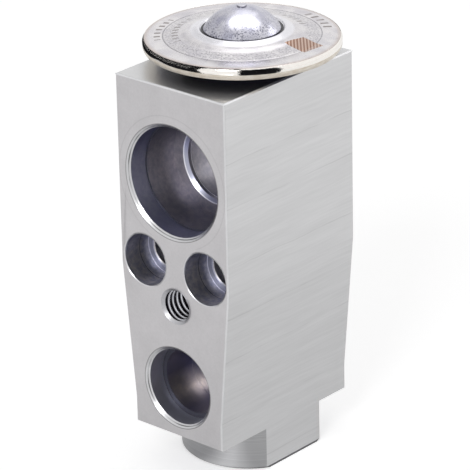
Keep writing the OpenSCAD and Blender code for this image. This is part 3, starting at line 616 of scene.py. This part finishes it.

# The ring is bright where the punch has rubbed it, the crevice is painted dark as painted shade, and the dome
# is finely pitted
on_ring = add(tree, "MapRange", {0: reach, 1: RING_OUTER_R, 2: RING_OUTER_R + RING_FADE, 3: 1.0, 4: 0.0})[0]
sheet = add(tree, "Mix", {0: on_ring, 6: sheet, 7: colour("#e2e1e6")}, data_type="RGBA")[2]
on_dome = add(tree, "Math", {0: reach, 1: CREVICE_R - 4 * HAIR}, operation="LESS_THAN")[0]
thick = add(tree, "TexNoise", {"Vector": centred, "Scale": 1 / PIT_PATCH})[0]
thick = add(tree, "MapRange", {0: thick, 1: 0.35, 2: 0.6, 3: 0.15, 4: 1.0})[0]
pits = add(tree, "MapRange", {0: peen, 1: 0.4, 2: 0.5, 3: 1.0, 4: 0.0})[0]
pits = add(tree, "Math", {0: pits, 1: thick}, operation="MULTIPLY")[0]
worn_top = add(tree, "MapRange", {0: z, 1: WORN_LOW_Z, 2: WORN_HIGH_Z, 3: 1.0, 4: 0.25})[0]
pits = add(tree, "Math", {0: pits, 1: worn_top}, operation="MULTIPLY")[0]
dome = add(tree, "Mix", {0: clouded, 6: colour("#b3b3c2"), 7: colour("#cccbd3")}, data_type="RGBA")[2]
dome = add(tree, "Mix", {0: pits, 6: dome, 7: colour("#6f6f7e")}, data_type="RGBA")[2]
tone = add(tree, "Mix", {0: on_dome, 6: sheet, 7: dome}, data_type="RGBA")[2]
low = add(tree, "MapRange", {0: z, 1: CREVICE_Z + CREVICE_SHADE_LOW, 2: CREVICE_Z + CREVICE_SHADE_HIGH, 3: 1.0, 4: 0.0})[0]
within = add(tree, "Math", {0: reach, 1: CREVICE_R + CREVICE_SHADE_SPREAD}, operation="LESS_THAN")[0]
crevice_shade = add(tree, "Math", {0: low, 1: within}, operation="MULTIPLY")[0]
tone = add(tree, "Mix", {0: crevice_shade, 6: tone, 7: colour("#1c1c24")}, data_type="RGBA")[2]
gloss = add(tree, "MapRange", {0: cloud, 1: 0.3, 2: 0.7, 3: 0.2, 4: 0.32})[0]
fine_dents = add(tree, "Math", {0: peen, 1: on_dome}, operation="MULTIPLY")[0]
fine_dents = add(tree, "Math", {0: fine_dents, 1: 0.3}, operation="MULTIPLY")[0]
dents = add(tree, "Math", {0: cloud, 1: 2.0, 2: fine_dents}, operation="MULTIPLY_ADD")[0]
bump = add(tree, "Bump", {"Strength": 0.5, "Distance": 0.03 * MM, "Height": dents})[0]
drive(shader, {"Base Color": tone, "Roughness": gloss, "Normal": bump})

crease_z = FACE_Z + CREASE_RISE
stage_end = (STAGE_R - STAGE_L, STAGE_Z + STAGE_RISE)
ring_foot = (RING_OUTER_R, RING_Z - RING_RISE)
foot_angle = math.degrees(math.asin((CREVICE_Z - DOME_CENTRE_Z) / DOME_R))
outer = [(RIM_R, RIM_Z), (RIM_R, FACE_Z - EDGE_EASE), (RIM_R - EDGE_EASE, FACE_Z)]
outer += [(RIM_R - 4 * EDGE_EASE, FACE_Z), (CREASE_R + CREASE_HALF_W, crease_z)]
outer += [(CREASE_R, crease_z - CREASE_DEPTH), (CREASE_R - CREASE_HALF_W, crease_z)]
outer += line(CREASE_R - CREASE_HALF_W, crease_z, STAGE_R, STAGE_Z, 12)
outer += line(STAGE_R, STAGE_Z, *stage_end, 4)
outer += line(*stage_end, *ring_foot, 5)
outer += line(*ring_foot, RING_R + HAIR, RING_Z - HAIR / 5, 5)
outer += arc(RING_R, RING_Z - RING_ROUND, RING_ROUND, 85, 160, 8)
outer += [(CREVICE_R, CREVICE_Z)]
outer += [p for p in arc(0, DOME_CENTRE_Z, DOME_R, foot_angle, 89, 48) if p[0] > PLUG_R]
outer += [(PLUG_R, DOME_CENTRE_Z + math.sqrt(DOME_R ** 2 - PLUG_R ** 2))]
inner_r = DOME_R - COVER_T
inner_angle = math.degrees(math.asin((RING_Z - COVER_T - DOME_CENTRE_Z) / inner_r))
inner = [(PLUG_R, DOME_CENTRE_Z + math.sqrt(inner_r ** 2 - PLUG_R ** 2))]
inner += arc(0, DOME_CENTRE_Z, inner_r, 80, inner_angle, 16)
inner += line(RING_R, RING_Z - COVER_T, CREASE_R, RIM_Z, 8)
upper_cover = turned_piece("pressed_upper_cover", outer + inner, cover_metal, 30)
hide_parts("head_upper_cover")

# Weld round the rim
# The two covers and the diaphragm are fused together round their edge. The molten steel leaves a narrow,
# mirror-bright bead with slight waves, so it shows the studio as sharp dark and white bands.
BEAD_R = 1.0 * MM
BEAD_CENTRE_R = 14.87 * MM
BEAD_CENTRE_Z = 70.33 * MM
BEAD_LOW_ANGLE = -25
BEAD_HIGH_ANGLE = 44
BEAD_SINK = 0.2 * MM
RIPPLE_L = 0.6 * MM
RIPPLE_H = 0.22 * MM
SWELL_L = 2.2 * MM

weld_metal, tree, shader = finish("fused_steel", {"Metallic": 1.0, "Roughness": 0.08})
place = add(tree, "TexCoord")["Object"]
drawn = add(tree, "Mapping", {"Vector": place, "Scale": (1 / RIPPLE_L, 1 / RIPPLE_L, 1 / RIPPLE_H)})[0]
ripple = add(tree, "TexNoise", {"Vector": drawn, "Scale": 1.0, "Detail": 3.0})[0]
wave = add(tree, "TexNoise", {"Vector": place, "Scale": 1 / SWELL_L, "Detail": 1.0})[0]
tone = add(tree, "Mix", {0: ripple, 6: colour("#ece7e0"), 7: colour("#fbf8f4")}, data_type="RGBA")[2]
swell = add(tree, "Math", {0: wave, 1: 2.0, 2: ripple}, operation="MULTIPLY_ADD")[0]
bump = add(tree, "Bump", {"Strength": 0.5, "Distance": 0.03 * MM, "Height": swell})[0]
drive(shader, {"Base Color": tone, "Normal": bump})
bead = arc(BEAD_CENTRE_R, BEAD_CENTRE_Z, BEAD_R, BEAD_LOW_ANGLE, BEAD_HIGH_ANGLE, 16)
bead += [(RIM_R - BEAD_SINK, FACE_Z - 3 * HAIR), (RIM_R - BEAD_SINK, RIM_Z - BEAD_SINK)]
rim_weld = turned_piece("rim_weld", bead, weld_metal, 40)

# Lower cover of the head
# Pressed from the same sheet and plated; it screws into the block's top with its neck. Its edge shows as a
# pale, warm band under the weld, and its underside is painted bluish black, painted shade under the head.
UNDERSIDE_SHADE_R = 14.1 * MM
UNDERSIDE_SHADE_FADE = 0.4 * MM
STAIN_L = 1.5 * MM
STAIN_H = 0.5 * MM


def from_axis(tree, place):
    """How far a point is from the valve's axis."""
    centred = add(tree, "Mapping", {"Vector": place, "Location": (0, -AXIS_Y, 0), "Scale": (1, 1, 0)})[0]
    return add(tree, "VectorMath", {0: centred}, operation="LENGTH")["Value"]


# Plated steel: a warm, slightly stained sheen on the edge, and a bluish black underside that is painted shade
plated, tree, shader = finish("plated_steel", {"Metallic": 1.0, "Roughness": 0.24})
place = add(tree, "TexCoord")["Object"]
reach = from_axis(tree, place)
drawn = add(tree, "Mapping", {"Vector": place, "Scale": (1 / STAIN_L, 1 / STAIN_L, 1 / STAIN_H)})[0]
stain = add(tree, "TexNoise", {"Vector": drawn, "Scale": 1.0, "Detail": 3.0})[0]
stained = add(tree, "MapRange", {0: stain, 1: 0.3, 2: 0.7})[0]
edge = add(tree, "Mix", {0: stained, 6: colour("#c6bcae"), 7: colour("#dcd6cc")}, data_type="RGBA")[2]
painted_under_shade = add(tree, "MapRange", {0: reach, 1: UNDERSIDE_SHADE_R - UNDERSIDE_SHADE_FADE, 2: UNDERSIDE_SHADE_R, 3: 1.0, 4: 0.0})[0]
tone = add(tree, "Mix", {0: painted_under_shade, 6: edge, 7: colour("#232236")}, data_type="RGBA")[2]
bump = add(tree, "Bump", {"Strength": 0.3, "Distance": 0.02 * MM, "Height": stain})[0]
drive(shader, {"Base Color": tone, "Normal": bump})
dress("head_lower_cover", plated)

# Charge plug
# A small steel plug that is pressed and welded into the dome's top once the head is charged with gas. It is
# ground flush; the fine dark line at its edge is painted shade.
PLUG_TOP_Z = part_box("fill_plug")[1][2]
SCUFF_W = 0.1 * MM
SCUFF_L = 1.5 * MM

# Ground steel: fine parallel scuffs, drawn coarser than the wheel leaves them, and sides painted darker as
# painted shade
plug_metal, tree, shader = finish("ground_steel", {"Metallic": 1.0, "Roughness": 0.28})
place = add(tree, "TexCoord")["Object"]
z = add(tree, "SeparateXYZ", {0: place})["Z"]
scuff = add(tree, "Mapping", {"Vector": place, "Scale": (1 / SCUFF_W, 1 / SCUFF_L, 0)})[0]
scuff = add(tree, "TexNoise", {"Vector": scuff, "Scale": 1.0})[0]
tone = add(tree, "Mix", {0: scuff, 6: colour("#b9b9c3"), 7: colour("#cfced6")}, data_type="RGBA")[2]
plug_edge_shade = add(tree, "Math", {0: z, 1: PLUG_TOP_Z - HAIR}, operation="LESS_THAN")[0]
tone = add(tree, "Mix", {0: plug_edge_shade, 6: tone, 7: colour("#86858f")}, data_type="RGBA")[2]
bump = add(tree, "Bump", {"Strength": 0.2, "Distance": 0.01 * MM, "Height": scuff})[0]
drive(shader, {"Base Color": tone, "Normal": bump})
dress("fill_plug", plug_metal)

# Diaphragm
# A thin disc of rolled spring steel, dished and held between the two covers. It is bright, with the fine
# lines of rolling all in one direction, wider here than they really are.
ROLL_LINE_W = 0.15 * MM
ROLL_LINE_L = 8.0 * MM

sheet_metal, tree, shader = finish("rolled_spring_steel", {"Metallic": 1.0, "Roughness": 0.2})
place = add(tree, "TexCoord")["Object"]
drawn = add(tree, "Mapping", {"Vector": place, "Scale": (1 / ROLL_LINE_L, 1 / ROLL_LINE_W, 0)})[0]
rolled = add(tree, "TexNoise", {"Vector": drawn, "Scale": 1.0})[0]
tone = add(tree, "Mix", {0: rolled, 6: colour("#b9b9bc"), 7: colour("#d6d6d8")}, data_type="RGBA")[2]
bump = add(tree, "Bump", {"Strength": 0.15, "Distance": 0.01 * MM, "Height": rolled})[0]
drive(shader, {"Base Color": tone, "Normal": bump})
dress("diaphragm", sheet_metal)

# Turned brass pieces
# The pad under the diaphragm, the rod's retainer, the ball's carrier and the adjusting screw are turned from
# brass bar. The tool leaves fine rings round the valve's axis, brighter on the crests.
TOOL_FEED = 0.12 * MM
TARNISH = 1.5 * MM

brass, tree, shader = finish("turned_brass", {"Metallic": 1.0, "Roughness": 0.27})
place = add(tree, "TexCoord")["Object"]
z = add(tree, "SeparateXYZ", {0: place})["Z"]
feed = add(tree, "CombineXYZ", {"X": from_axis(tree, place), "Z": z})[0]
rings = add(tree, "TexNoise", {"Vector": feed, "Scale": 1 / TOOL_FEED})[0]
tarnish = add(tree, "TexNoise", {"Vector": place, "Scale": 1 / TARNISH, "Detail": 3.0})[0]
tone = add(tree, "Mix", {0: rings, 6: colour("#b99a55"), 7: colour("#dcc382")}, data_type="RGBA")[2]
dulled = add(tree, "MapRange", {0: tarnish, 1: 0.5, 2: 0.7, 3: 0.0, 4: 0.35})[0]
tone = add(tree, "Mix", {0: dulled, 6: tone, 7: colour("#8d7443")}, data_type="RGBA")[2]
bump = add(tree, "Bump", {"Strength": 0.25, "Distance": 0.01 * MM, "Height": rings})[0]
drive(shader, {"Base Color": tone, "Normal": bump})
for name in ("diaphragm_pad", "rod_retainer", "ball_carrier", "adjusting_screw"):
    dress(name, brass)

# Sensor rod
# A drawn aluminium rod that crosses the suction passage, feels the vapour's warmth and passes the diaphragm's
# stroke on. Drawing leaves lines along it, finer in fact than these, and the vapour's oil dulls it slightly.
DRAW_LINE_W = 0.12 * MM
DRAW_LINE_L = 9.0 * MM
OIL_FILM = 1.2 * MM

rod_metal, tree, shader = finish("drawn_aluminium", {"Metallic": 1.0, "Roughness": 0.36})
place = add(tree, "TexCoord")["Object"]
drawn = (1 / DRAW_LINE_W, 1 / DRAW_LINE_W, 1 / DRAW_LINE_L)
drawn = add(tree, "Mapping", {"Vector": place, "Scale": drawn})[0]
drawn = add(tree, "TexNoise", {"Vector": drawn, "Scale": 1.0})[0]
film = add(tree, "TexNoise", {"Vector": place, "Scale": 1 / OIL_FILM, "Detail": 4.0})[0]
film = add(tree, "MapRange", {0: film, 1: 0.4, 2: 0.65, 3: 0.0, 4: 0.6})[0]
tone = add(tree, "Mix", {0: drawn, 6: colour("#a3a1a3"), 7: colour("#bebbba")}, data_type="RGBA")[2]
tone = add(tree, "Mix", {0: film, 6: tone, 7: colour("#8f8783")}, data_type="RGBA")[2]
bump = add(tree, "Bump", {"Strength": 0.2, "Distance": 0.01 * MM, "Height": drawn})[0]
drive(shader, {"Base Color": tone, "Normal": bump})
dress("sensor_rod", rod_metal)

# Pin and ball
# A ground steel pin pushes a hardened bearing ball off its seat. Both are lapped nearly to a mirror, with
# only a faint haze from the grinding, which is drawn coarser than it is.
HAZE = 0.3 * MM

lapped, tree, shader = finish("lapped_steel", {"Metallic": 1.0})
place = add(tree, "TexCoord")["Object"]
haze = add(tree, "TexNoise", {"Vector": place, "Scale": 1 / HAZE, "Detail": 3.0})[0]
tone = add(tree, "Mix", {0: haze, 6: colour("#c6c6ca"), 7: colour("#dadadd")}, data_type="RGBA")[2]
gloss = add(tree, "MapRange", {0: haze, 1: 0.3, 2: 0.7, 3: 0.06, 4: 0.16})[0]
drive(shader, {"Base Color": tone, "Roughness": gloss})
for name in ("valve_pin", "valve_ball"):
    dress(name, lapped)

# Spring and damper ring
# The spring is coiled from hard-drawn wire and closes up as the ball is pushed down; the damper ring is bent
# from strip. Both keep the dark, slightly oily skin of drawn spring steel, with small bright rubs.
RUB = 0.25 * MM

wire_metal, tree, shader = finish("hard_drawn_wire", {"Metallic": 1.0, "Roughness": 0.3})
place = add(tree, "TexCoord")["Object"]
skin = add(tree, "TexNoise", {"Vector": place, "Scale": 1 / RUB, "Detail": 3.0})[0]
rubbed = add(tree, "MapRange", {0: skin, 1: 0.5, 2: 0.7})[0]
tone = add(tree, "Mix", {0: rubbed, 6: colour("#85858a"), 7: colour("#b4b4b9")}, data_type="RGBA")[2]
bump = add(tree, "Bump", {"Strength": 0.2, "Distance": 0.01 * MM, "Height": skin})[0]
drive(shader, {"Base Color": tone, "Normal": bump})
for name in ("valve_spring", "damper_ring"):
    dress(name, wire_metal)
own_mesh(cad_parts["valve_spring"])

# Seals
# Moulded nitrile rings in the head's joint, round the rod and round the adjusting screw. They are black and
# matt, with a fine bloom and a thin film of oil.
BLOOM = 0.4 * MM

nitrile, tree, shader = finish("moulded_nitrile", {"IOR": 1.52})
place = add(tree, "TexCoord")["Object"]
bloom = add(tree, "TexNoise", {"Vector": place, "Scale": 1 / BLOOM, "Detail": 4.0})[0]
tone = add(tree, "Mix", {0: bloom, 6: colour("#141416"), 7: colour("#2b2b2e")}, data_type="RGBA")[2]
gloss = add(tree, "MapRange", {0: bloom, 1: 0.3, 2: 0.7, 3: 0.38, 4: 0.6})[0]
bump = add(tree, "Bump", {"Strength": 0.15, "Distance": 0.01 * MM, "Height": bloom})[0]
drive(shader, {"Base Color": tone, "Roughness": gloss, "Normal": bump})
for name in ("head_o_ring", "rod_o_ring", "adjuster_o_ring"):
    dress(name, nitrile)

# Studio
# A white sweep under soft lamps; for mirrors it is painted dimmer near the valve, a painted shade, and
# brightest just in front of the foot, a painted highlight on the foot. The dark screens show only in the
# bright weld and on the dome, as the unlit parts of a studio do.
FLOOR_SIZE = 6.0
SWEEP_NEAR_R = 0.02
SWEEP_FAR_R = 0.15
SWEEP_NEAR_GLOW = 0.2
SWEEP_FAR_GLOW = 0.42
BRIGHT_AZIMUTH = 20
BRIGHT_L = 0.05
BRIGHT_CORE = 1.0 * MM
BRIGHT_HALF_W = 6.0 * MM
BRIGHT_GLOW = 0.85
FLOOR_GLOW = 0.5
SKY_LIGHT = 0.55

world = bpy.data.worlds.new("studio")
bpy.context.scene.world = world
world.use_nodes = True
tree = world.node_tree
tree.nodes.clear()
ray = add(tree, "LightPath")
seen = add(tree, "Math", {0: ray["Is Camera Ray"], 1: ray["Is Glossy Ray"]}, operation="MAXIMUM")[0]
shown = add(tree, "Math", {0: seen, 1: ray["Is Transmission Ray"]}, operation="MAXIMUM")[0]
light = add(tree, "Background", {"Color": (1, 1, 1, 1), "Strength": SKY_LIGHT})[0]
white = add(tree, "Background", {"Color": (1, 1, 1, 1), "Strength": 1.0})[0]
both = add(tree, "MixShader", {0: shown, 1: light, 2: white})[0]
add(tree, "OutputWorld", {"Surface": both})

# White paper, fully matt: it glows for the camera and, more with distance, for mirrors, so that mirrors see
# painted shade near the valve and a bright spot in front of the foot, a painted glow for the foot's highlight
paper, tree, shader = finish("white_paper", {"Base Color": (0.8, 0.8, 0.8, 1), "Roughness": 1.0,
                                             "Specular IOR Level": 0.0, "Emission Color": (1, 1, 1, 1)})
ray = add(tree, "LightPath")
place = add(tree, "TexCoord")["Object"]
far = add(tree, "VectorMath", {0: place}, operation="LENGTH")["Value"]
mirrored = add(tree, "MapRange", {0: far, 1: SWEEP_NEAR_R, 2: SWEEP_FAR_R, 3: SWEEP_NEAR_GLOW,
                                  4: SWEEP_FAR_GLOW})[0]
swung = add(tree, "Mapping", {"Vector": place, "Rotation": (0, 0, math.radians(90 - BRIGHT_AZIMUTH))})[0]
ahead, aside = add(tree, "SeparateXYZ", {0: swung})[:2]
aside = add(tree, "Math", {0: aside}, operation="ABSOLUTE")[0]
foot_spot_glint = add(tree, "MapRange", {0: aside, 1: BRIGHT_CORE, 2: BRIGHT_HALF_W, 3: 1.0, 4: 0.0})[0]
nearby = add(tree, "MapRange", {0: ahead, 1: 0.0, 2: BRIGHT_L, 3: 1.0, 4: 0.0})[0]
foot_spot_glint = add(tree, "Math", {0: foot_spot_glint, 1: nearby}, operation="MULTIPLY")[0]
in_front = add(tree, "Math", {0: ahead, 1: 0.0}, operation="GREATER_THAN")[0]
foot_spot_glint = add(tree, "Math", {0: foot_spot_glint, 1: in_front}, operation="MULTIPLY")[0]
mirrored = add(tree, "Math", {0: foot_spot_glint, 1: BRIGHT_GLOW, 2: mirrored}, operation="MULTIPLY_ADD")[0]
mirrored = add(tree, "Math", {0: mirrored, 1: ray["Is Glossy Ray"]}, operation="MULTIPLY")[0]
glow = add(tree, "Math", {0: ray["Is Camera Ray"], 1: FLOOR_GLOW, 2: mirrored}, operation="MULTIPLY_ADD")[0]
drive(shader, {"Emission Strength": glow})
mesh = bmesh.new()
bmesh.ops.create_grid(mesh, x_segments=1, y_segments=1, size=FLOOR_SIZE / 2)
floor = made("floor", mesh, paper)
floor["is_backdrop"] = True


def keep_from(thing, name, pieces):
    """Keeps the light of a lamp or a screen from these pieces."""
    unlit = bpy.data.collections.new(name + "_unlit")
    for one in pieces:
        unlit.objects.link(one)
    for link in unlit.collection_objects:
        link.light_linking.link_state = "EXCLUDE"
    thing.light_linking.receiver_collection = unlit


# Each screen is part of a ball round the head, from one azimuth to another and between two elevations; one
# that starts at TO_FLOOR goes on along the floor
SCREEN_R = 0.22
SCREEN_NEAR_R = 0.05
SCREEN_GLOW = 0.84
SCREEN_ROWS = 12
SCREEN_COLUMNS = 24
TO_FLOOR = -20
screen = finish("studio_screen", {"Base Color": (0.01, 0.01, 0.012, 1), "Roughness": 1.0,
                                  "Specular IOR Level": 0.0, "Emission Color": (1, 1, 1, 1),
                                  "Emission Strength": SCREEN_GLOW})[0]
head_middle = Vector((0, AXIS_Y, BEAD_CENTRE_Z))
for name, mirror, first, last, lowest, highest in (("screen_left", rim_weld, -124, -8, TO_FLOOR, 62),
                                                   ("screen_front", rim_weld, 36, 84, TO_FLOOR, 45),
                                                   ("screen_high", rim_weld, -8, 36, 50, 68),
                                                   ("screen_dome", upper_cover, -118, -20, -2, 42)):
    mesh = bmesh.new()
    heights = [lowest + (highest - lowest) * i / SCREEN_ROWS for i in range(SCREEN_ROWS + 1)]
    profile = [head_middle + towards(first, elevation) * SCREEN_R for elevation in heights]
    profile = [point for point in profile if point.z > MM]
    if lowest == TO_FLOOR:
        on_floor = [towards(first, 0) * r + Vector((0, AXIS_Y, MM)) for r in (SCREEN_NEAR_R, SCREEN_R)]
        profile = on_floor + profile
    verts = [mesh.verts.new(point) for point in profile]
    edges = [mesh.edges.new((verts[i], verts[i + 1])) for i in range(len(verts) - 1)]
    bmesh.ops.spin(mesh, geom=verts + edges, cent=(0, AXIS_Y, 0), axis=(0, 0, 1),
                   angle=math.radians(last - first), steps=SCREEN_COLUMNS)
    card = made(name, mesh, screen)
    card.visible_camera = False
    card.visible_diffuse = False
    card.visible_shadow = False
    keep_from(card, name, [mirror])
    card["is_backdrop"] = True

# Each lamp has an azimuth, an elevation, a distance, its width, height and power, and what it leaves unlit
LAMP_AIM = Vector((0, 0, 40 * MM))
for name, azimuth, elevation, distance, width, height, power, unlit in (
        ("softbox_top", 221, 89, 0.6, 0.8, 0.36, 2.0, [floor]),
        ("softbox_back", 221, 57, 0.7, 0.6, 0.3, 0.36, [floor]),
        ("softbox_right", 148, 24, 0.7, 0.3, 0.2, 0.35, [rim_weld]),
        ("softbox_front", 22, 37, 0.8, 0.22, 0.22, 1.2, [upper_cover])):
    lamp = bpy.data.lights.new(name, "AREA")
    lamp.shape = "RECTANGLE"
    lamp.energy = power
    lamp.size = width
    lamp.size_y = height
    softbox = bpy.data.objects.new(name, lamp)
    bpy.context.collection.objects.link(softbox)
    softbox.location = LAMP_AIM + towards(azimuth, elevation) * distance
    softbox.rotation_euler = (-towards(azimuth, elevation)).to_track_quat("-Z", "Y").to_euler()
    softbox.visible_camera = False
    keep_from(softbox, name, unlit)

low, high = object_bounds()
